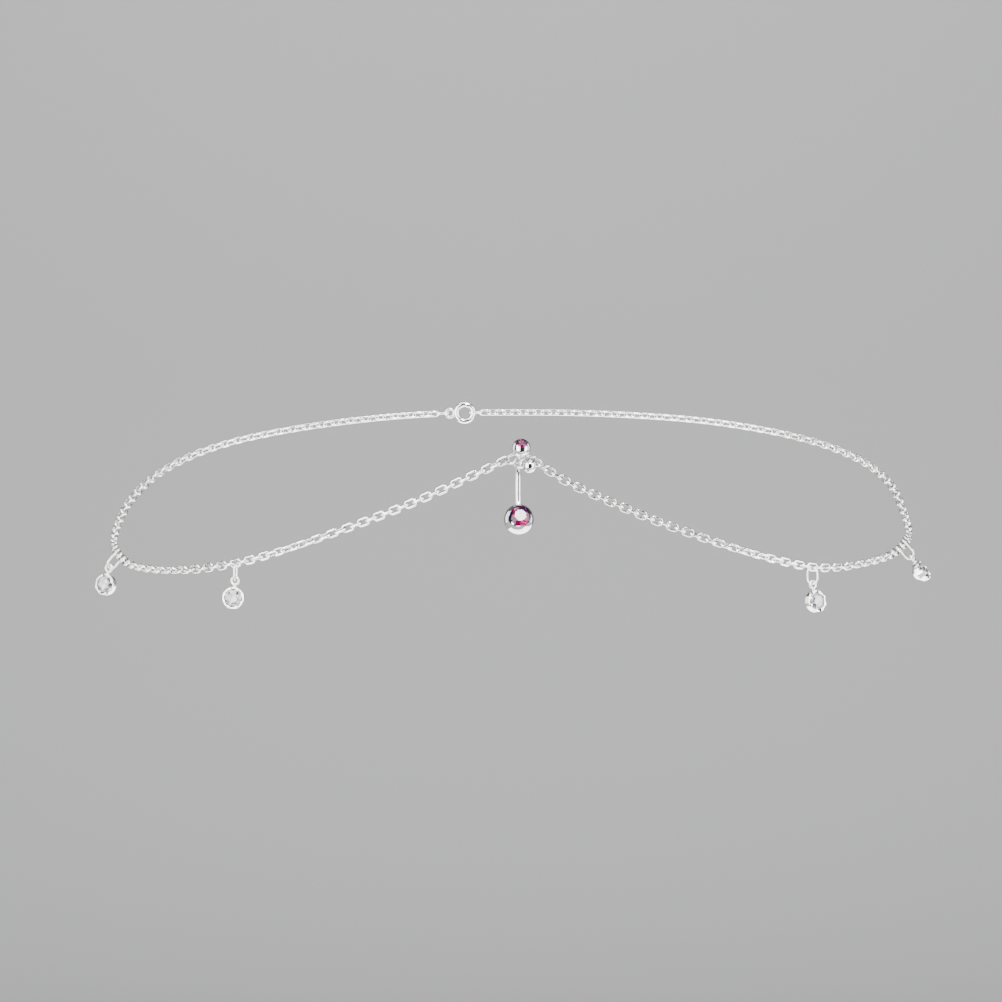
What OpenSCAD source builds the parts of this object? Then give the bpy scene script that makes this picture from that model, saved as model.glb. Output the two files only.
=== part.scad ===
// Waist chain: a cable chain round the waist, a curved navel bar hanging in its two
// end rings at the front, four crystal drops and a clasp at the back.
// Millimetres. The origin is the middle of the waist, +Z is up and the front is at -Y.

/* [Chain] */
// Thickness of a link's wire
link_wire = 0.6; // [0.5:0.05:0.65]
// Outside length of a link
link_l = 3.65; // [3.5:0.05:4]
// Outside width of a link
link_w = 2.4; // [2.3:0.05:2.6]
// Play between two wires that hold each other
link_play = 0.165; // [0.12:0.005:0.2]
// Least length of the plain stretches beside the clasp; the rest is made link by link
back_l = 59; // [55:1:90]
// Thickness of the plain stretch at the back, as thick as the links
back_d = 2; // [1.6:0.1:2.4]

/* [Navel bar] */
// Thickness of the bar
bar_d = 1.6; // [1.2:0.1:1.7]
// Straight distance between the two balls
bar_l = 14; // [12:0.5:16]
// Bend of the bar from one ball to the other, in degrees
bar_bend = 70; // [50:1:80]
// Forward lean of the bar's upper end, in degrees
bar_lean = 15.5; // [10:0.5:20]
// Turn of the bar's face to its left, in degrees
bar_turn = 8; // [0:1:12]
// Diameter of the lower ball
ball_d = 8; // [7.4:0.1:9]
// Diameter of the top ball
top_ball_d = 5; // [4.6:0.1:5.2]
// Depth of the bar's end in the top ball
stud_in = 1.6; // [1:0.1:1.8]
// Space round the bar's end in the top ball
stud_play = 0.1; // [0.1:0.01:0.12]

/* [Navel gems] */
// Diameter of the lower gem
gem_d = 5.5; // [5:0.1:6]
// Diameter of the top gem
top_gem_d = 2.8; // [2.6:0.1:3.3]
// Depth of a gem's girdle below the rim of its pocket
gem_sink = 0.25; // [0.15:0.05:0.4]
// Space round a stone in its pocket
stone_play = 0.1; // [0.1:0.01:0.12]

/* [End rings] */
// Outside diameter of an end ring
ring_d = 6; // [5.8:0.1:6.4]
// Thickness of an end ring's wire
ring_wire = 0.65; // [0.55:0.05:0.7]
// Space between the bar and the ring that pulls on it
ring_play = 0.3; // [0.28:0.01:0.34]
// Distance from the top ball down to the upper ring, along the bar
ring_seat = 1.3; // [1.2:0.1:1.5]
// Height between the two rings on the bar
ring_step = 1.3; // [1.25:0.05:1.5]
// Forward slope of the left ring, in degrees
left_slope = 26; // [24:1:28]
// Forward slope of the right ring, in degrees
right_slope = 36; // [34:1:38]
// Diameter of the ball that closes the right ring
closing_d = 3.8; // [3.6:0.05:3.85]
// Place of the closing ball round its ring, from the chain's end, in degrees
closing_at = 58; // [57:1:62]
// Depth of the ring's ends in the closing ball
closing_in = 0.35; // [0.25:0.05:0.5]

/* [Crystal drops] */
// Outside length of a jump ring
jump_l = 4.9; // [4.5:0.1:5.5]
// Outside width of a jump ring
jump_w = 3.5; // [3.3:0.1:4]
// Thickness of a jump ring's wire
jump_wire = 0.5; // [0.4:0.05:0.55]
// Outside diameter of the setting's eye
eye_d = 2.6; // [2.4:0.1:3]
// Thickness of the eye's wire
eye_wire = 0.65; // [0.5:0.05:0.7]
// Play between a drop's eye and its jump ring
eye_play = 0.25; // [0.22:0.01:0.3]
// Length of the neck between the eye and the cup
neck_l = 0.45; // [0.3:0.05:0.8]
// Diameter of a crystal
crystal_d = 4.9; // [4.5:0.1:5.2]
// Wall of the cup that holds a crystal
cup_wall = 0.35; // [0.3:0.05:0.5]
// Number of claws round a crystal
claws = 8; // [6:1:10]
// Width of a claw
claw_d = 0.7; // [0.55:0.05:0.8]

/* [Clasp] */
// Outside diameter of the clasp
clasp_d = 6.5; // [6:0.1:7.5]
// Thickness of the clasp's tube
clasp_wire = 1.5; // [1.2:0.1:1.7]
// Outside diameter of the clasp's eye
clasp_eye_d = 3.2; // [3:0.1:3.6]
// Thickness of the wire of the clasp's eye
clasp_eye_wire = 0.8; // [0.6:0.05:0.8]
// Outside length of the rings beside the clasp
clasp_ring_l = 4.4; // [4:0.1:5]
// Outside width of the rings beside the clasp
clasp_ring_w = 3.2; // [3:0.1:4]
// Thickness of the wire of the rings beside the clasp
clasp_ring_wire = 0.6; // [0.5:0.05:0.65]

/* [Hidden] */

silver = "silver";
fuchsia = "mediumvioletred";
clear = "aliceblue";

// Middle of the navel bar's swing axis, between the chain's two ends
navel = [1.9, -83.2, 24.4];
// The bar's middle hangs this far in front of the axis, so that its weight is below it
bar_ahead = 0.2;

// Points that the chain passes, round the waist from its left end to its right end
chain_route = [
    [-12, -81.3, 19.6], [-24, -79.2, 14.1], [-36, -77, 9.3], [-48, -74.4, 4.9], [-60, -70.7, 0.8],
    [-72, -65.2, -2.7], [-83, -58.3, -4.6], [-92, -50.5, -5.3], [-100, -41.2, -5], [-106, -31, -3.6],
    [-110, -18, -0.6], [-111.8, -5, 2.4], [-111.5, 8, 7.4], [-109, 22, 14], [-103.5, 36, 20.5],
    [-95, 48, 26], [-83.5, 58, 30.5], [-69, 66.5, 34], [-52, 73, 36.8], [-34, 77.4, 38.8],
    [-16, 79.6, 39.8], [2, 80, 40], [20, 79.3, 39.8], [38, 76.7, 39], [55, 72, 37.6],
    [70, 66, 35.4], [83.5, 58, 32.5], [95, 48, 28.7], [103.5, 36, 24], [109, 22, 18],
    [111.5, 8, 10.2], [111.8, -5, 4.6], [109.5, -19, 2], [105, -33, -1], [99, -42.5, -2.8],
    [91, -51.4, -4.2], [82, -59, -4.4], [72, -65.2, -2.5], [60, -70.7, 0.8], [48, -74.4, 4.8],
    [36, -77, 9.2], [24, -79.3, 14.3], [14, -81.2, 19]];

// Turn of the links about the chain, 0 where a link stands upright: [way from the navel, degrees]
left_twist = [[0, 28], [14, 8], [40, 0], [60, 45], [76, 90], [90, 90], [104, 135], [300, 135]];
right_twist = [[0, 42], [14, 10], [40, 0], [62, 45], [80, 90], [94, 90], [108, 135], [300, 135]];

// The four drops: the way from the navel to its link, 1 if that link is an odd one, where its jump
// ring crosses the link (along, outward and above the link's lower wire), and the azimuth, lean and
// turn of its jump ring and of its setting
WAY = 0;
ODD = 1;
SEAT = 2;
JUMP = 3;
DROP = 4;
left_front = [81.5, 1, [0, 0, 0], [-110, 4, 80], [170, 5, -6]];
right_front = [86, 1, [0, 0, 0], [-70, 4, 150], [-30, 9, 35]];
left_side = [138.6, 0, [0, 0, 0], [180, 38, 40], [180, 9, -28]];
right_side = [134, 0, [-0.1, -0.2, -0.2], [-30, 45, -40], [-40, 36, 62]];

pitch = link_l - 2 * link_wire - link_play;
ring_r = (ring_d - ring_wire) / 2;
bar_r = bar_l / (2 * sin(bar_bend / 2));
bar_face = [sin(bar_turn), -cos(bar_turn), 0];
top_end = bar_lean + bar_bend / 2;
low_end = bar_lean - bar_bend / 2;

function unit(v) = v / norm(v);
function deg(along, r) = along / r * 180 / PI;

// Places of the two rings on the bar, as angles round its bend
upper_at = top_end - deg(ring_seat, bar_r);
lower_at = upper_at - deg(ring_step / cos(top_end - 10), bar_r);
axis_at = (upper_at + lower_at) / 2;
bend_mid = navel + bar_face * (bar_ahead + bar_r * cos(axis_at)) - [0, 0, bar_r * sin(axis_at)];

// Point on the bar's middle line and the line's upward direction, at angle a round the bend
function on_bar(a) = bend_mid - bar_face * bar_r * cos(a) + [0, 0, bar_r * sin(a)];
function along_bar(a) = bar_face * sin(a) + [0, 0, cos(a)];
top_ball_mid = on_bar(top_end) + along_bar(top_end) * top_ball_d / 2;
ball_mid = on_bar(low_end) - along_bar(low_end) * ball_d / 2;

// An end ring hooks the chain at its hook and holds the bar against its far side
ring_reach = 2 * ring_r - ring_wire / 2 - bar_d / 2 - ring_play;
function hook(side, a) = let (b = on_bar(a) - navel)
    navel + [b.x + side * sqrt(pow(ring_reach, 2) - pow(b.y, 2) - pow(b.z, 2)), 0, 0];
left_hook = hook(-1, upper_at);
right_hook = hook(1, lower_at);
function slope_dir(slope, u) = let (v = [0, -cos(slope), -sin(slope)]) unit(v - u * (u * v));

// The chain's first link holds the ring's wire inside its end
hook_in = (ring_wire + link_wire) / 2 + link_play;
route = concat(
    [left_hook - unit(chain_route[0] - left_hook) * hook_in], chain_route,
    [right_hook - unit(chain_route[len(chain_route) - 1] - right_hook) * hook_in]);

// Smooth curve through the route's points, as fine steps with the way run up to each
steps = 16;
last = len(route) - 1;
function knot(i) = i < 0 ? 2 * route[0] - route[1] : i > last ? 2 * route[last] - route[last - 1] : route[i];
function between(a, b, c, d, t) = 0.5 * (2 * b + (c - a) * t + (2 * a - 5 * b + 4 * c - d) * pow(t, 2)
    + (3 * b - a - 3 * c + d) * pow(t, 3));
curve = concat([for (i = [0:last - 1], j = [0:steps - 1])
    between(knot(i - 1), knot(i), knot(i + 1), knot(i + 2), j / steps)], [route[last]]);
way = [for (i = 0, s = 0; i < len(curve);
    i = i + 1, s = s + (i < len(curve) ? norm(curve[i] - curve[i - 1]) : 0)) s];
whole = way[len(way) - 1];
way_x = [for (i = [0:len(way) - 1]) [way[i], curve[i].x]];
way_y = [for (i = [0:len(way) - 1]) [way[i], curve[i].y]];
way_z = [for (i = [0:len(way) - 1]) [way[i], curve[i].z]];
function at(s) = [lookup(s, way_x), lookup(s, way_y), lookup(s, way_z)];

// Directions at way s: along the chain, outward from the waist, and up across the chain
function along(s) = unit(at(s + pitch / 2) - at(s - pitch / 2));
function outward(t) = unit(cross([0, 0, 1], t));
function middle(s) = (at(s + pitch / 2) + at(s - pitch / 2)) / 2;

// Way of link number i from the left end, on the left and on the right side
first_link = (link_l - link_wire) / 2;
function left_way(i) = first_link + i * pitch;
function right_way(i) = whole - left_way(i);
// Number of the link that holds a drop
function link_of(drop) = drop[ODD] + 2 * round(((drop[WAY] - first_link) / pitch - drop[ODD]) / 2);

// The clasp is on the back, a little to one side of the middle
clasp_way = whole / 2 - 12;
clasp_r = (clasp_d - clasp_wire) / 2;
clasp_eye_r = (clasp_eye_d - clasp_eye_wire) / 2;
clasp_eye_x = clasp_d / 2 + clasp_eye_r;
clasp_ring_run = clasp_ring_l - clasp_ring_wire;
left_ring_x = -clasp_eye_x - clasp_eye_r + (clasp_eye_wire + clasp_ring_wire) / 2 + link_play;
right_ring_x = clasp_r - (clasp_wire + clasp_ring_wire) / 2 - link_play;

// Ways of the plain stretches' ends at the clasp rings, number of links on each side of the navel,
// and way of the last link's outer end
left_back_end = clasp_way + left_ring_x - clasp_ring_run - clasp_ring_wire / 2 - link_play;
right_back_end = clasp_way + right_ring_x + clasp_ring_run + clasp_ring_wire / 2 + link_play;
side_links = floor((left_back_end - back_l - link_play - link_l / 2 - first_link) / pitch) + 1;
links_end = left_way(side_links - 1) + link_l / 2;

// Moves what stands on z at the origin to point o, its z along z and its x along x
module place(o, z, x) {
    y = cross(z, x);
    multmatrix([[x.x, y.x, z.x, o.x], [x.y, y.y, z.y, o.y], [x.z, y.z, z.z, o.z]]) children();
}

// Round ring in the xy plane
module ring(r, wire) {
    rotate_extrude($fn = 48) translate([r, 0]) circle(d = wire, $fn = 16);
}

// Long ring in the xy plane, its length along x
module oval(l, w, wire) {
    r = (w - wire) / 2;
    for (turn = [0, 180]) rotate(turn) {
        translate([(l - w) / 2, 0, 0]) rotate(-90)
            rotate_extrude(angle = 180, $fn = 32) translate([r, 0]) circle(d = wire, $fn = 16);
        translate([0, r, 0]) rotate([0, 90, 0]) cylinder(d = wire, h = l - w, center = true, $fn = 16);
    }
}

// Round brilliant: an eight-sided table, 8 star, 8 main and 16 girdle facets above the
// girdle, 8 mains and 16 halves below; its girdle is at z = 0 and its table faces +z
function cut(n, r, z, turn) = [for (i = [0:n - 1]) let (a = i * 360 / n + turn) [r * cos(a), r * sin(a), z]];
gem_table = 0.58;
gem_crown = 0.15;
gem_depth = 0.42;
gem_girdle = 0.02;
module brilliant(d) {
    r = d / 2;
    table_r = gem_table * r;
    top = d * (gem_crown + gem_girdle / 2);
    rim = d * gem_girdle / 2;
    star_r = (r + table_r) / 2 * 1.04;
    star_z = rim + (r - star_r * cos(22.5)) / (r - table_r) * (top - rim);
    low_r = r * 0.3;
    low_z = -rim - (r - low_r * cos(22.5)) / r * d * gem_depth;
    points = concat(cut(8, table_r, top, 0), cut(8, star_r, star_z, 22.5), cut(16, r, rim, 0),
        cut(16, r, -rim, 0), cut(8, low_r, low_z, 22.5), [[0, 0, -rim - d * gem_depth]]);
    star = 8;
    edge = 16;
    under = 32;
    low = 48;
    tip = 56;
    faces = concat(
        [[for (i = [7:-1:0]) i]],
        [for (i = [0:7]) [i, (i + 1) % 8, star + i]],
        [for (i = [0:7]) [i, star + i, edge + 2 * i]],
        [for (i = [0:7]) [i, edge + 2 * i, star + (i + 7) % 8]],
        [for (i = [0:7]) [star + i, edge + 2 * i + 1, edge + 2 * i]],
        [for (i = [0:7]) [star + i, edge + (2 * i + 2) % 16, edge + 2 * i + 1]],
        [for (i = [0:15]) [edge + i, edge + (i + 1) % 16, under + (i + 1) % 16]],
        [for (i = [0:15]) [edge + i, under + (i + 1) % 16, under + i]],
        [for (i = [0:7]) [under + 2 * i, under + 2 * i + 1, low + i]],
        [for (i = [0:7]) [under + 2 * i + 1, under + (2 * i + 2) % 16, low + i]],
        [for (i = [0:7]) [low + i, under + (2 * i + 2) % 16, low + (i + 1) % 8]],
        [for (i = [0:7]) [low + i, low + (i + 1) % 8, tip]]);
    polyhedron(points, [for (f = faces) [for (k = [len(f) - 1:-1:0]) f[k]]]);
}

// Room for a brilliant with play all round, open above its girdle
module stone_room(d, open) {
    r = d / 2 + stone_play;
    rotate_extrude($fn = 48)
        polygon([[0, -d * (gem_depth + gem_girdle / 2) - 3 * stone_play], [r, -2 * stone_play],
            [r, open], [0, open]]);
}

// Height of a pocket's rim above the middle of its ball, and of the girdle in it
function rim_z(ball, gem) = sqrt(pow(ball / 2, 2) - pow(gem / 2 + stone_play, 2));
function girdle_z(ball, gem) = rim_z(ball, gem) - gem_sink;

// Lower ball's gem looks forward, square to the bar's end
gem_dir = bar_face * cos(low_end) - [0, 0, sin(low_end)];
bar_side = cross(bar_face, [0, 0, 1]);

// Round bar bent about bend_mid, from angle a to angle b
module bent(a, b, d) {
    place(bend_mid, -bar_side, -bar_face) rotate(a)
        rotate_extrude(angle = b - a, $fn = 96) translate([bar_r, 0]) circle(d = d, $fn = 32);
}

module navel_bar() {
    color(silver) difference() {
        union() {
            translate(ball_mid) sphere(d = ball_d, $fn = 64);
            bent(low_end - deg(bar_d, bar_r), top_end + deg(stud_in, bar_r), bar_d);
        }
        place(ball_mid + gem_dir * girdle_z(ball_d, gem_d), gem_dir, bar_side) stone_room(gem_d, ball_d / 2);
    }
}

module navel_gem() {
    color(fuchsia) place(ball_mid + gem_dir * girdle_z(ball_d, gem_d), gem_dir, bar_side)
        rotate(22.5) brilliant(gem_d);
}

module top_ball() {
    dir = along_bar(top_end);
    color(silver) difference() {
        translate(top_ball_mid) sphere(d = top_ball_d, $fn = 64);
        bent(top_end - deg(bar_d, bar_r), top_end + deg(stud_in + 2 * stud_play, bar_r),
            bar_d + 2 * stud_play);
        place(top_ball_mid + dir * girdle_z(top_ball_d, top_gem_d), dir, bar_side)
            stone_room(top_gem_d, top_ball_d / 2);
    }
}

module top_gem() {
    color(fuchsia) place(top_ball_mid + along_bar(top_end) * girdle_z(top_ball_d, top_gem_d),
        along_bar(top_end), bar_side) brilliant(top_gem_d);
}

// Plane of an end ring: x runs from the hook to the bar, y down the slope
module ring_place(from, a, slope) {
    u = unit(on_bar(a) - from);
    v = slope_dir(slope, u);
    place(from + u * ring_r, cross(u, v), u) children();
}

module end_ring_left() {
    color(silver) ring_place(left_hook, upper_at, left_slope) ring(ring_r, ring_wire);
}

// Half the angle round the ring that a chord of length c takes
function chord_angle(c) = 2 * asin(c / 2 / ring_r);

module open_ring(into, grow) {
    gap = chord_angle(closing_d / 2 - into);
    rotate(180 - closing_at + gap) rotate_extrude(angle = 360 - 2 * gap, $fn = 64)
        translate([ring_r, 0]) circle(d = ring_wire + 2 * grow, $fn = 16);
}

module end_ring_right() {
    color(silver) ring_place(right_hook, lower_at, right_slope) open_ring(closing_in, 0);
}

module closing_ball() {
    color(silver) ring_place(right_hook, lower_at, right_slope) difference() {
        rotate(180 - closing_at) translate([ring_r, 0, 0]) sphere(d = closing_d, $fn = 48);
        open_ring(closing_in + stud_play, stud_play);
    }
}

// One link at way s, turned about the chain by the given angle
module link_at(s, turn) {
    t = along(s);
    out = outward(t);
    width = cross(t, out) * cos(turn) + out * sin(turn);
    place(middle(s), cross(t, width), t) oval(link_l, link_w, link_wire);
}

module chain_left() {
    color(silver) for (i = [0:side_links - 1])
        link_at(left_way(i), lookup(left_way(i), left_twist) + i % 2 * 90);
}

module chain_right() {
    color(silver) for (i = [0:side_links - 1])
        link_at(right_way(i), lookup(left_way(i), right_twist) + i % 2 * 90);
}

// Plain round stretch of the chain from way a to way b
back_sides = 8;
module back_stretch(a, b) {
    n = ceil((b - a) / (2.5 * back_d));
    points = [for (i = [0:n])
        let (s = a + (b - a) * i / n, t = along(s), out = outward(t), up = cross(t, out))
        for (k = [0:back_sides - 1])
        at(s) + back_d / 2 * (out * cos(k * 360 / back_sides) + up * sin(k * 360 / back_sides))];
    faces = concat(
        [[for (k = [back_sides - 1:-1:0]) k], [for (k = [0:back_sides - 1]) n * back_sides + k]],
        [for (i = [0:n - 1], k = [0:back_sides - 1]) let (m = (k + 1) % back_sides)
            [i * back_sides + k, i * back_sides + m, (i + 1) * back_sides + m,
                (i + 1) * back_sides + k]]);
    polyhedron(points, [for (f = faces) [for (k = [len(f) - 1:-1:0]) f[k]]], convexity = 6);
}

module chain_back_left() {
    color(silver) back_stretch(links_end + link_play, left_back_end);
}

module chain_back_right() {
    color(silver) back_stretch(right_back_end, whole - links_end - link_play);
}

// The clasp's frame: x along the chain, y outward, z across
module clasp_place() {
    t = along(clasp_way);
    out = outward(t);
    place(middle(clasp_way), cross(t, out), t) children();
}

module clasp() {
    color(silver) clasp_place() rotate([90, 0, 0]) {
        ring(clasp_r, clasp_wire);
        translate([-clasp_eye_x, 0, 0]) ring(clasp_eye_r, clasp_eye_wire);
    }
}

module clasp_ring_left() {
    color(silver) clasp_place() translate([left_ring_x - clasp_ring_run / 2, 0, 0])
        oval(clasp_ring_l, clasp_ring_w, clasp_ring_wire);
}

module clasp_ring_right() {
    color(silver) clasp_place() translate([right_ring_x + clasp_ring_run / 2, 0, 0])
        oval(clasp_ring_l, clasp_ring_w, clasp_ring_wire);
}

// Parts of a drop hang down -z; pose is the azimuth and angle of the lean, and the turn
jump_run = jump_l - jump_wire;
jump_top = jump_wire / 2 + link_play - (link_w / 2 - link_wire);
module hang(o, pose) {
    translate(o) rotate(pose[0]) rotate([0, -pose[1], 0]) rotate(pose[2] - pose[0]) children();
}
function down(pose) = [sin(pose[1]) * cos(pose[0]), sin(pose[1]) * sin(pose[0]), -cos(pose[1])];
function jump_from(drop, s) = let (t = along(s), out = outward(t))
    middle(s) + t * drop[SEAT].x + out * drop[SEAT].y + cross(t, out) * (jump_top + drop[SEAT].z);
function eye_from(drop, s) = jump_from(drop, s) + down(drop[JUMP]) * jump_run
    - down(drop[DROP]) * ((jump_wire + eye_wire) / 2 + eye_play);

module jump_ring(drop, s) {
    color(silver) hang(jump_from(drop, s), drop[JUMP])
        translate([0, 0, -jump_run / 2]) rotate([90, 90, 0]) oval(jump_l, jump_w, jump_wire);
}

// The cup's profile: a wall round the crystal's room, with a flat back
eye_r = (eye_d - eye_wire) / 2;
room_r = crystal_d / 2 + stone_play;
room_tip = -crystal_d * (gem_depth + gem_girdle / 2) - 3 * stone_play;
cup_r = room_r + cup_wall;
cup_back = room_tip - cup_wall / 2;
cup_rim = crystal_d * gem_girdle / 2 + stone_play;
cup = [[0, cup_back], [cup_r / 2, cup_back], [cup_r, cup_back / 2], [cup_r, cup_rim],
    [room_r, cup_rim], [room_r, -2 * stone_play], [0, room_tip]];

// A claw's profile: it stands in the wall and leans over the crystal's edge
claw_out = cup_r + claw_d / 6;
claw_tip = room_r - claw_d / 2;
claw_top = cup_rim + claw_d * 0.75;
claw = [[room_r + cup_wall / 3, cup_back / 3], [claw_out, cup_back / 3], [claw_out, claw_top - claw_d / 3],
    [claw_out - claw_d / 3, claw_top], [claw_tip + claw_d / 4, claw_top], [claw_tip, claw_top - claw_d / 4],
    [room_r + cup_wall / 3, cup_rim]];
claw_turn = deg(claw_d, cup_r);

// The crystal's frame: z is out of its face and x across the drop; the eye is behind its girdle
crystal_down = eye_r + eye_d / 2 + neck_l + cup_r;
face_ahead = -cup_back / 4;
module face_place() {
    translate([0, -face_ahead, -crystal_down]) rotate([90, 0, 0]) children();
}

module setting(drop, s) {
    neck_from = -crystal_down + room_r + cup_wall / 4;
    color(silver) hang(eye_from(drop, s), drop[DROP]) {
        translate([0, 0, -eye_r]) rotate([90, 0, 0]) ring(eye_r, eye_wire);
        translate([0, 0, neck_from]) cylinder(d = 1.4 * eye_wire, h = -2 * eye_r - neck_from, $fn = 24);
        face_place() {
            rotate_extrude($fn = 48) polygon(cup);
            for (i = [0:claws - 1]) rotate((i + 0.5) * 360 / claws - claw_turn / 2)
                rotate_extrude(angle = claw_turn, $fn = 96) polygon(claw);
        }
    }
}

module crystal(drop, s) {
    color(clear) hang(eye_from(drop, s), drop[DROP]) face_place() brilliant(crystal_d);
}

navel_bar();
navel_gem();
top_ball();
top_gem();
end_ring_left();
end_ring_right();
closing_ball();
chain_left();
chain_right();
chain_back_left();
chain_back_right();
clasp();
clasp_ring_left();
clasp_ring_right();
jump_ring(left_front, left_way(link_of(left_front)));  // jump_ring_left_front
setting(left_front, left_way(link_of(left_front)));  // setting_left_front
crystal(left_front, left_way(link_of(left_front)));  // crystal_left_front
jump_ring(right_front, right_way(link_of(right_front)));  // jump_ring_right_front
setting(right_front, right_way(link_of(right_front)));  // setting_right_front
crystal(right_front, right_way(link_of(right_front)));  // crystal_right_front
jump_ring(left_side, left_way(link_of(left_side)));  // jump_ring_left_side
setting(left_side, left_way(link_of(left_side)));  // setting_left_side
crystal(left_side, left_way(link_of(left_side)));  // crystal_left_side
jump_ring(right_side, right_way(link_of(right_side)));  // jump_ring_right_side
setting(right_side, right_way(link_of(right_side)));  // setting_right_side
crystal(right_side, right_way(link_of(right_side)));  // crystal_right_side
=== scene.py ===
import math

import bpy
import numpy as np
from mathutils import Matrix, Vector


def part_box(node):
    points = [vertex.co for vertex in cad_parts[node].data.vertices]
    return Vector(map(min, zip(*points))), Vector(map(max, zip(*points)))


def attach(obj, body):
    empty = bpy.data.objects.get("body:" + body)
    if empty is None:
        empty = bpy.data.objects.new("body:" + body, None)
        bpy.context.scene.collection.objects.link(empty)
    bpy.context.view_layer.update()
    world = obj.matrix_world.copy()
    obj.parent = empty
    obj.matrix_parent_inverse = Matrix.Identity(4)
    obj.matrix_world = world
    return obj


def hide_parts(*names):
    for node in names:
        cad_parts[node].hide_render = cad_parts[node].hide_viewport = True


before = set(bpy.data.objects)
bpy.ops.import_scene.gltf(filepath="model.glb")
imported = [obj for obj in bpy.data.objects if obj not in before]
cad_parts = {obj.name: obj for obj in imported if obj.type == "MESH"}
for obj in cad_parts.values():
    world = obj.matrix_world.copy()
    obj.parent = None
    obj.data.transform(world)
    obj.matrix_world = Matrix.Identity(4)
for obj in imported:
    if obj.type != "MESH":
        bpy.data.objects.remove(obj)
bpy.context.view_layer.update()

# Camera
# It looks level at the waist from the front, as in the photograph, from about 1.3 m away. The lens
# follows from the picture's width and a focal length in pixels that was fitted to the photograph.
PICTURE_WIDTH = 1002
FOCAL_PIXELS = 4888
SENSOR_WIDTH = 36
CAMERA_PLACE = (-0.00295, -1.380, 0.0135)

camera_data = bpy.data.cameras.new("camera")
camera_data.sensor_width = SENSOR_WIDTH
camera_data.lens = SENSOR_WIDTH * FOCAL_PIXELS / PICTURE_WIDTH
camera = bpy.data.objects.new("camera", camera_data)
camera.location = CAMERA_PLACE
camera.rotation_euler = (math.radians(90), 0, 0)
bpy.context.scene.collection.objects.link(camera)
bpy.context.scene.camera = camera

# Studio
# A plain pale floor curves up behind into a wall, and the worn chain is held above it. Tall soft
# panels stand left and right of the camera with a gap between, and two more beside the chain.
# Others light it from above and below. The room is dim, so polished metal shows dark streaks.
FLOOR_Z = -0.3
FLOOR_FRONT = -0.28
FLOOR_HALF_WIDTH = 1.6
WALL_Y = 1.9
WALL_TOP = 0.5
WALL_RADIUS = 0.4
WALL_BEND_POINTS = 24
PAPER_GREY = (0.3, 0.3, 0.3)
PAPER_ROUGHNESS = 0.9
PAPER_TOOTH = 0.02
PAPER_GRAINS_ACROSS = 400


def feed(tree, node, sockets):
    """Gives each named socket of a node a value, or a link from another node's output."""
    for socket, given in sockets.items():
        if isinstance(given, bpy.types.NodeSocket):
            tree.links.new(given, node.inputs[socket])
        else:
            node.inputs[socket].default_value = given


def add_node(tree, kind, sockets=(), **settings):
    """A new node of that kind, with its settings made and its sockets fed."""
    made = tree.nodes.new("ShaderNode" + kind)
    for setting, choice in settings.items():
        setattr(made, setting, choice)
    feed(tree, made, dict(sockets))
    return made


def principled(name, colour, roughness, metallic=0.0):
    """A new node material with one Principled shader, its tree, and that shader's node."""
    material = bpy.data.materials.new(name)
    material.use_nodes = True
    tree = material.node_tree
    shader = tree.nodes["Principled BSDF"]
    feed(tree, shader, {"Base Color": (*colour, 1), "Roughness": roughness, "Metallic": metallic})
    return material, tree, shader


def new_object(name, points, faces, material):
    """A smooth object with one mesh made from arrays of points and faces, at the scene's origin."""
    mesh = bpy.data.meshes.new(name)
    mesh.from_pydata(np.asarray(points).tolist(), [], np.asarray(faces).tolist())
    mesh.materials.append(material)
    mesh.polygons.foreach_set("use_smooth", np.full(len(mesh.polygons), True))
    mesh.update()
    made = bpy.data.objects.new(name, mesh)
    bpy.context.scene.collection.objects.link(made)
    return made


# The floor is one profile, level and then a quarter circle up into the wall, at its two sides
bend = np.linspace(0, math.pi / 2, WALL_BEND_POINTS)
bend_y = WALL_Y - WALL_RADIUS + WALL_RADIUS * np.sin(bend)
bend_z = FLOOR_Z + WALL_RADIUS * (1 - np.cos(bend))
profile_y = np.concatenate([[FLOOR_FRONT], bend_y, [WALL_Y]])
profile_z = np.concatenate([[FLOOR_Z], bend_z, [WALL_TOP]])
rows = len(profile_y)
floor_points = np.concatenate([
    np.stack([np.full(rows, side * FLOOR_HALF_WIDTH), profile_y, profile_z], 1) for side in (-1, 1)])
row = np.arange(rows - 1)
floor_faces = np.stack([row, row + rows, row + rows + 1, row + 1], 1)
paper, paper_tree, paper_shader = principled("backdrop_paper", PAPER_GREY, PAPER_ROUGHNESS)
paper_grain = add_node(paper_tree, "TexNoise", {"Scale": PAPER_GRAINS_ACROSS})
paper_bump = add_node(
    paper_tree, "Bump", {"Strength": PAPER_TOOTH, "Height": paper_grain.outputs["Fac"]})
feed(paper_tree, paper_shader, {"Normal": paper_bump.outputs["Normal"]})
new_object("floor", floor_points, floor_faces, paper)

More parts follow.
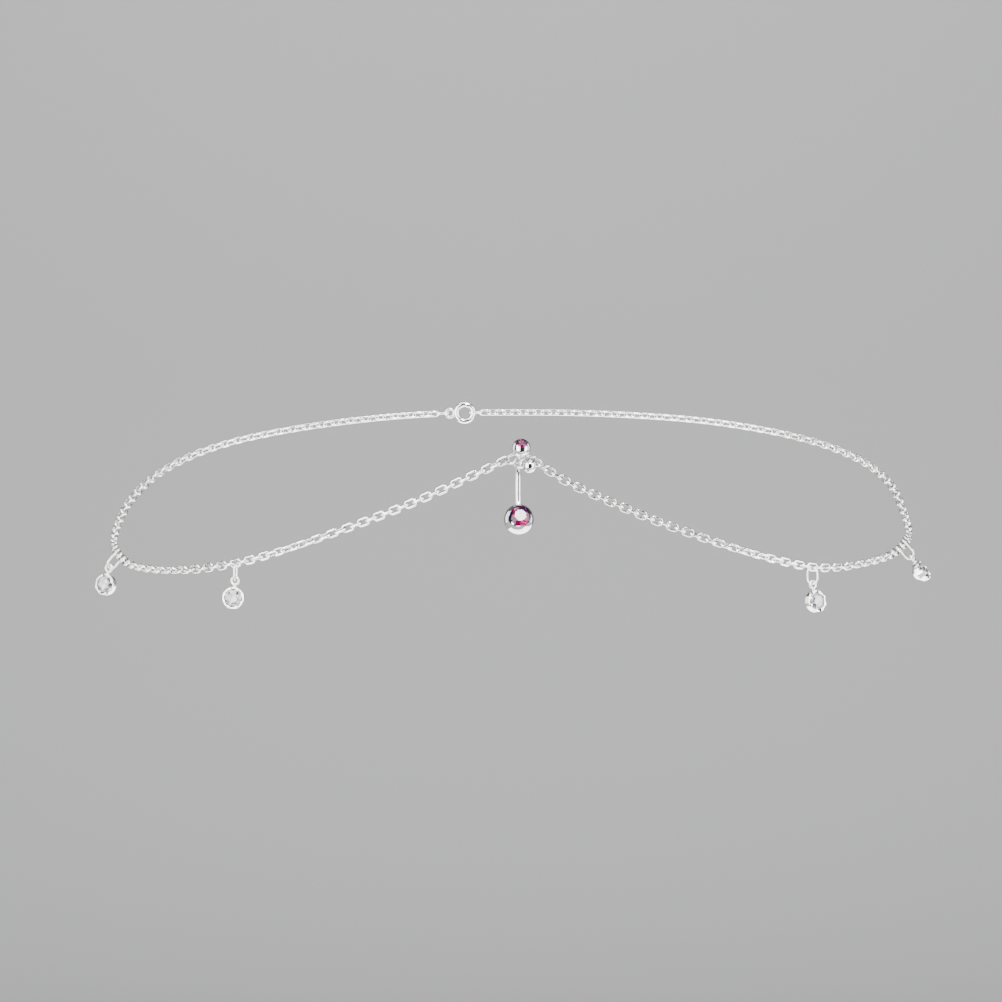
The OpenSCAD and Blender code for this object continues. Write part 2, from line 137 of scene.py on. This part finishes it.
# Each soft panel's name, place, the point that it faces, width, height and watts. The panels light
# the chain and the wall and show in the metal, but aren't themselves in the picture.
WAIST_FRONT = (0, -0.08, 0)
WALL_MIDDLE = (0, 1.75, 0)
PANELS = (
    ("panel_left", (-0.82, -1.06, 0.1), WAIST_FRONT, 1.2, 2.2, 80),
    ("panel_right", (1.2, -0.65, 0), WAIST_FRONT, 0.9, 2.0, 52),
    ("panel_left_rim", (-1.2, 0.35, 0.1), WAIST_FRONT, 0.8, 1.6, 14),
    ("panel_right_rim", (1.2, 0.35, 0.1), WAIST_FRONT, 0.6, 1.6, 10),
    ("panel_top", (0, -0.1, 1.3), WAIST_FRONT, 1.6, 1.0, 24),
    ("panel_under", (0.02, 0, -0.27), WAIST_FRONT, 0.6, 0.8, 9),
    ("panel_high", (0.33, -1.07, 0.85), WAIST_FRONT, 0.28, 0.28, 24),
    ("panel_wall", (0, 0.9, 1), WALL_MIDDLE, 0.8, 0.25, 12))

for name, place, target, width, height, watts in PANELS:
    light = bpy.data.lights.new(name, "AREA")
    light.shape = "RECTANGLE"
    light.size = width
    light.size_y = height
    light.energy = watts
    panel = bpy.data.objects.new(name, light)
    panel.location = place
    panel.rotation_euler = (Vector(target) - Vector(place)).to_track_quat("-Z", "Y").to_euler()
    panel.visible_camera = False
    bpy.context.scene.collection.objects.link(panel)

# The room is dark up to a little above the horizon and grows paler overhead: its strength follows
# the height of each direction
ROOM_COLOUR = (0.92, 0.95, 1.0)
DARK_BELOW = 0.1
PALE_ABOVE = 0.9
DARK_STRENGTH = 0.06
PALE_STRENGTH = 0.35

room = bpy.data.worlds.new("room")
room.use_nodes = True
direction = add_node(room.node_tree, "TexCoord")
parts = add_node(room.node_tree, "SeparateXYZ", {"Vector": direction.outputs["Generated"]})
strength = add_node(room.node_tree, "MapRange", {
    "Value": parts.outputs["Z"], "From Min": DARK_BELOW, "From Max": PALE_ABOVE,
    "To Min": DARK_STRENGTH, "To Max": PALE_STRENGTH})
feed(room.node_tree, room.node_tree.nodes["Background"], {
    "Color": (*ROOM_COLOUR, 1), "Strength": strength.outputs["Result"]})
bpy.context.scene.world = room

# Cable chain
# Round wire, silver plated, is cut and bent into oval links that pass through each other and are
# closed without solder. The first link at the navel holds an end ring, the last one a clasp ring.
LINK_WIRE = 0.0006
LINK_LENGTH = 0.00365
LINK_WIDTH = 0.0024

# The way that one link can slip in the next, and the step from link to link
LINK_PLAY = 0.000165
LINK_PITCH = LINK_LENGTH - 2 * LINK_WIRE - LINK_PLAY

SIDE_LINKS = 104

# The points that the chain passes, from its left end at the navel round the waist to its right end,
# in millimetres and then made metres
CHAIN_ROUTE = 0.001 * np.array([
    [-1.08, -83.33, 24.73],
    [-12, -81.3, 19.6], [-24, -79.2, 14.1], [-36, -77, 9.3], [-48, -74.4, 4.9], [-60, -70.7, 0.8],
    [-72, -65.2, -2.7], [-83, -58.3, -4.6], [-92, -50.5, -5.3], [-100, -41.2, -5], [-106, -31, -3.6],
    [-110, -18, -0.6], [-111.8, -5, 2.4], [-111.5, 8, 7.4], [-109, 22, 14], [-103.5, 36, 20.5],
    [-95, 48, 26], [-83.5, 58, 30.5], [-69, 66.5, 34], [-52, 73, 36.8], [-34, 77.4, 38.8],
    [-16, 79.6, 39.8], [2, 80, 40], [20, 79.3, 39.8], [38, 76.7, 39], [55, 72, 37.6],
    [70, 66, 35.4], [83.5, 58, 32.5], [95, 48, 28.7], [103.5, 36, 24], [109, 22, 18],
    [111.5, 8, 10.2], [111.8, -5, 4.6], [109.5, -19, 2], [105, -33, -1], [99, -42.5, -2.8],
    [91, -51.4, -4.2], [82, -59, -4.4], [72, -65.2, -2.5], [60, -70.7, 0.8], [48, -74.4, 4.8],
    [36, -77, 9.2], [24, -79.3, 14.3], [14, -81.2, 19],
    [5.06, -83.36, 24.82]])

# Turn of the links about the chain: way from the navel in metres, and degrees. Past the last row
# the turn stays as it is there.
LEFT_TWIST = np.array(
    [[0, 28], [0.014, 8], [0.040, 0], [0.060, 45], [0.076, 90], [0.090, 90], [0.104, 135]])
RIGHT_TWIST = np.array(
    [[0, 42], [0.014, 10], [0.040, 0], [0.062, 45], [0.080, 90], [0.094, 90], [0.108, 135]])

SILVER = (0.9, 0.89, 0.87)

# What all the polished metals share: scratches drawn out level, gloss as shares of the roughness,
# shallow dents with their depth in metres, and how far tarnish and the painted shade inside the
# rings' holes darken the metal
CLOUD_DETAIL = 4
SCRATCHES_PER_CLOUD = 2
SCRATCHES_DRAWN = (1, 1, 14)
BEST_GLOSS = 0.5
WORST_GLOSS = 2.5
DENT_STRENGTH = 0.12
DENT_DEPTH = 0.00003
TARNISH_FROM = 0.5
TARNISH_FULL = 0.8
TARNISH_MOST = 0.3
TARNISH_AND_SHADE_TONE = 0.3


def smooth_curve(points, steps=16):
    """Points of the uniform Catmull-Rom curve through points: at part t of the stretch from b to c,
    with a before and d after, half of 2b + (c - a)t + (2a - 5b + 4c - d)t2 + (3b - a - 3c + d)t3."""
    ends = np.vstack([2 * points[0] - points[1], points, 2 * points[-1] - points[-2]])
    a, b, c, d = (ends[k:len(ends) - 3 + k, None] for k in range(4))
    t = (np.arange(steps) / steps)[None, :, None]
    squared = (2 * a - 5 * b + 4 * c - d) * t**2
    cubed = (3 * b - a - 3 * c + d) * t**3
    inner = (2 * b + (c - a) * t + squared + cubed) / 2
    return np.vstack([inner.reshape(-1, 3), points[-1]])


chain_curve = smooth_curve(CHAIN_ROUTE)
chain_way = np.concatenate([[0], np.cumsum(np.linalg.norm(np.diff(chain_curve, axis=0), axis=1))])
CHAIN_LENGTH = chain_way[-1]


def on_chain(way):
    """The points of the chain's route at these ways from its left end."""
    return np.stack([np.interp(way, chain_way, chain_curve[:, k]) for k in range(3)], -1)


def unit(vectors):
    """The same directions at length 1."""
    return vectors / np.linalg.norm(vectors, axis=-1, keepdims=True)


def oval_ring(length, width, wire, around=32, sides=12):
    """Points and faces of one oval ring of round wire, its length along x and its width along y, and
    how far each point faces into the ring's hole, from 0 to 1. The middle line is two half circles
    joined by straight runs, and round it each ring of points lies at the wire's radius."""
    radius = (width - wire) / 2
    run = (length - width) / 2
    angle = (np.arange(around) + 0.5) * 2 * math.pi / around
    inward = -np.stack([np.cos(angle), np.sin(angle)], 1)
    middle = -radius * inward + np.stack([run * np.sign(np.cos(angle)), 0 * angle], 1)
    turn = np.arange(sides) * 2 * math.pi / sides
    flat = middle[:, None] + wire / 2 * np.cos(turn)[None, :, None] * inward[:, None]
    height = np.broadcast_to(wire / 2 * np.sin(turn), (around, sides))
    points = np.concatenate([flat, height[..., None]], 2).reshape(-1, 3)
    i, k = np.meshgrid(np.arange(around), np.arange(sides), indexing="ij")
    j, m = (i + 1) % around, (k + 1) % sides
    faces = np.stack([i * sides + k, i * sides + m, j * sides + m, j * sides + k], -1).reshape(-1, 4)
    # The wire's inner side, which later gets painted shade
    into_hole = np.broadcast_to(np.clip(np.cos(turn), 0, 1), (around, sides)).ravel()
    return points, faces, into_hole


def polished_metal(name, colour, roughness, grain):
    """Polished metal: clouds and fine scratches in its gloss, a breath of tarnish where the clouds
    are thick, and painted shade where a point faces into a ring's hole. grain is the clouds' size in
    metres."""
    material, tree, shader = principled(name, colour, roughness, metallic=1.0)
    place = add_node(tree, "TexCoord").outputs["Object"]
    clouds = add_node(
        tree, "TexNoise", {"Vector": place, "Scale": 1 / grain, "Detail": CLOUD_DETAIL}).outputs["Fac"]
    drawn = add_node(tree, "Mapping", {"Vector": place, "Scale": SCRATCHES_DRAWN}).outputs["Vector"]
    scratches = add_node(
        tree, "TexNoise", {"Vector": drawn, "Scale": SCRATCHES_PER_CLOUD / grain}).outputs["Fac"]
    wear = add_node(tree, "Math", {0: clouds, 1: scratches}, operation="MULTIPLY").outputs["Value"]
    gloss = add_node(tree, "MapRange", {
        "Value": wear, "To Min": roughness * BEST_GLOSS, "To Max": roughness * WORST_GLOSS})
    dents = add_node(tree, "Bump", {"Height": wear, "Strength": DENT_STRENGTH, "Distance": DENT_DEPTH})
    tarnish = add_node(tree, "MapRange", {
        "Value": clouds, "From Min": TARNISH_FROM, "From Max": TARNISH_FULL, "To Max": TARNISH_MOST})
    # Painted shade: where a point faces into a ring's hole, the metal is darkened like the shade
    # between the links
    hole = add_node(tree, "Attribute", attribute_name="into_hole")
    darker = add_node(
        tree, "Math", {0: tarnish.outputs["Result"], 1: hole.outputs["Fac"]}, operation="MAXIMUM")
    tarnish_and_shade_colour = (TARNISH_AND_SHADE_TONE * part for part in colour)
    tarnish_and_shade = add_node(
        tree, "Mix", {"Factor": darker.outputs["Value"], "A": (*colour, 1), "B": (*tarnish_and_shade_colour, 1)},
        data_type="RGBA")
    feed(tree, shader, {
        "Base Color": tarnish_and_shade.outputs["Result"], "Roughness": gloss.outputs["Result"],
        "Normal": dents.outputs["Normal"]})
    return material


def link_chain(name, way, twist_degrees, material):
    """One object with a link at each way along the route. A link's length lies on the line between
    the route's points half a pitch before and after it. Its width is turned about this line, from
    upright at 0 degrees to outwards at 90."""
    points, faces, into_hole = oval_ring(LINK_LENGTH, LINK_WIDTH, LINK_WIRE)
    before, after = on_chain(way - LINK_PITCH / 2), on_chain(way + LINK_PITCH / 2)
    along = unit(after - before)
    outward = unit(np.cross([0, 0, 1], along))
    turn = np.radians(twist_degrees)[:, None]
    width = np.cos(turn) * np.cross(along, outward) + np.sin(turn) * outward
    axes = np.stack([along, width, np.cross(along, width)], 1)
    placed = (before + after)[:, None] / 2 + points[None] @ axes
    shift = np.arange(len(way))[:, None, None] * len(points)
    made = new_object(name, placed.reshape(-1, 3), (faces[None] + shift).reshape(-1, 4), material)
    # Each point's share of facing into the hole, which sets the links' painted shade
    layer = made.data.attributes.new("into_hole", "FLOAT", "POINT")
    layer.data.foreach_set("value", np.tile(into_hole, len(way)).astype(np.float32))
    return made


def alternate(way, first, table):
    """The turn of the links at these ways from the navel, the first being link number first: what
    the table says, and a quarter turn more for every other link."""
    return np.interp(way, table[:, 0], table[:, 1]) + 90 * ((first + np.arange(len(way))) % 2)


chain_metal = polished_metal("silver_plate", SILVER, roughness=0.14, grain=0.0006)
side_way = (LINK_LENGTH - LINK_WIRE) / 2 + LINK_PITCH * np.arange(SIDE_LINKS)
chain_left = link_chain("cable_chain_left", side_way, alternate(side_way, 0, LEFT_TWIST), chain_metal)
chain_right = link_chain(
    "cable_chain_right", CHAIN_LENGTH - side_way, alternate(side_way, 0, RIGHT_TWIST), chain_metal)
for piece, node in ((chain_left, "chain_left"), (chain_right, "chain_right")):
    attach(piece, "waist_chain")
    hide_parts(node)

# Back of the chain
# The same links go on round the back to the clasp. Their pitch differs by a hair, so that the last
# link ends with its wire inside the clasp ring, and this ring's far end lies in the link.
CLASP_RING_LENGTH = 0.0044
CLASP_RING_WIRE = 0.0006


def way_of(node):
    """The way along the chain's route that is nearest to the middle of a CAD node."""
    low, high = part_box(node)
    middle = np.array((low + high) / 2)
    return chain_way[np.argmin(np.linalg.norm(chain_curve - middle, axis=1))]


def back_links(last_side, ring_end):
    """Ways of the links between the last side link and the wire at a clasp ring's far end."""
    reach = (LINK_LENGTH - LINK_WIRE) / 2 - (LINK_WIRE + CLASP_RING_WIRE) / 2 - LINK_PLAY
    run = ring_end - math.copysign(reach, ring_end - last_side) - last_side
    count = round(abs(run) / LINK_PITCH)
    return last_side + run * np.arange(1, count + 1) / count


clasp_ring_reach = (CLASP_RING_LENGTH - CLASP_RING_WIRE) / 2
left_back = back_links(side_way[-1], way_of("clasp_ring_left") - clasp_ring_reach)
right_back = back_links(CHAIN_LENGTH - side_way[-1], way_of("clasp_ring_right") + clasp_ring_reach)
back_left = link_chain(
    "cable_chain_back_left", left_back, alternate(left_back, SIDE_LINKS, LEFT_TWIST), chain_metal)
back_right = link_chain(
    "cable_chain_back_right", right_back,
    alternate(CHAIN_LENGTH - right_back, SIDE_LINKS, RIGHT_TWIST), chain_metal)
for piece, node in ((back_left, "chain_back_left"), (back_right, "chain_back_right")):
    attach(piece, "waist_chain")
    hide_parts(node)

# Clasp
# A round clasp of silver-plated tube with an eye, and an oval ring on each side that joins it to
# the chain. It lies behind the waist, out of the photograph's sight.
SMOOTH_BELOW = 40


def finish_node(node, material, smooth_degrees=None):
    """Gives a CAD node its material, and smooth shading where faces meet at less than that angle.
    Without an angle, as for a cut stone, every face stays flat."""
    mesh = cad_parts[node].data
    mesh.materials.clear()
    mesh.materials.append(material)
    mesh.polygons.foreach_set("use_smooth", np.full(len(mesh.polygons), smooth_degrees is not None))
    if smooth_degrees is not None:
        mesh.set_sharp_from_angle(angle=math.radians(smooth_degrees))


for node in ("clasp", "clasp_ring_left", "clasp_ring_right"):
    finish_node(node, chain_metal, SMOOTH_BELOW)

# Navel bar and balls
# A bar of surgical steel, bent forward at its upper end, with a ball turned in one piece with its
# lower end. The top ball screws onto it. All three are mirror polished.
STEEL = (0.63, 0.63, 0.64)
bar_steel = polished_metal("polished_steel", STEEL, roughness=0.06, grain=0.0018)
for node in ("navel_bar", "top_ball"):
    finish_node(node, bar_steel, SMOOTH_BELOW)

# End rings and closing ball
# Two wire rings join the chain's ends to the bar. The right one is open, and its two ends snap into
# dimples of a small ball that closes it.
ring_steel = polished_metal("ring_steel", STEEL, roughness=0.1, grain=0.0009)
for node in ("end_ring_left", "end_ring_right", "closing_ball"):
    finish_node(node, ring_steel, SMOOTH_BELOW)

# Gems of the navel bar
# Fuchsia glass stones, cut as brilliants and glued into pockets of the balls, table outwards. The
# larger one looks forward from the lower ball, the smaller one forward and up from the top ball.
# The stones' fuchsia, and the dark plum painted into some cells as painted shade of the facets'
# reflections
FUCHSIA = (0.46, 0.002, 0.13)
PLUM_SHADE = (0.015, 0.001, 0.06)
SHADE_FROM = 0.38
SHADE_FULL = 0.58
SCRATCHES_PER_CELL = 12
HAZE_MOST = 0.03


def cut_glass(name, colour, shade, ior, clearness, patch):
    """Polished glass of that colour over a bright foil. Its colour is painted in cells, each with its
    own share of the shade colour, as painted shade that stands in for the facets' reflections. Fine
    scratches give a faint haze. clearness is the part of the light that passes the surface, and
    patch the size of the cells in metres."""
    material, tree, shader = principled(name, colour, roughness=0.0)
    place = add_node(tree, "TexCoord").outputs["Object"]
    # Painted shade: cells of colour, some mixed towards the shade, stand in for the facets' dark
    # reflections
    cells = add_node(tree, "TexVoronoi", {"Vector": place, "Scale": 1 / patch})
    share = add_node(tree, "MapRange", {
        "Value": cells.outputs["Color"], "From Min": SHADE_FROM, "From Max": SHADE_FULL})
    tones = add_node(
        tree, "Mix", {"Factor": share.outputs["Result"], "A": (*colour, 1), "B": (*shade, 1)},
        data_type="RGBA")
    scratches = add_node(tree, "TexNoise", {"Vector": place, "Scale": SCRATCHES_PER_CELL / patch})
    haze = add_node(tree, "MapRange", {"Value": scratches.outputs["Fac"], "To Max": HAZE_MOST})
    feed(tree, shader, {
        "Base Color": tones.outputs["Result"], "Roughness": haze.outputs["Result"],
        "Transmission Weight": clearness, "IOR": ior})
    return material


pink_glass = cut_glass("fuchsia_glass", FUCHSIA, PLUM_SHADE, ior=1.45, clearness=0.85, patch=0.0014)
for node in ("navel_gem", "top_gem"):
    finish_node(node, pink_glass)

# Crystal drops
# Each drop is a clear glass brilliant in a silver-plated claw setting with a soldered eye, hung
# on an oval jump ring from a link of the chain. Two hang in front and one at each side.
SETTING_SILVER = (0.77, 0.76, 0.73)
SETTING_SMOOTH_BELOW = 35
# The drops' clear colour, and the dark grey painted into some cells as painted shade of the facets'
# reflections
CLEAR = (0.97, 0.98, 1.0)
CLEAR_SHADE = (0.1, 0.1, 0.12)

# The index is set above that of glass, for the sparkle that the bright cup behind it gives
CLEAR_INDEX = 2.1

setting_metal = polished_metal("setting_plate", SETTING_SILVER, roughness=0.16, grain=0.0005)
clear_glass = cut_glass(
    "clear_glass", CLEAR, CLEAR_SHADE, ior=CLEAR_INDEX, clearness=0.7, patch=0.0009)
for place in ("left_front", "right_front", "left_side", "right_side"):
    finish_node("jump_ring_" + place, chain_metal, SMOOTH_BELOW)
    finish_node("setting_" + place, setting_metal, SETTING_SMOOTH_BELOW)
    finish_node("crystal_" + place, clear_glass)
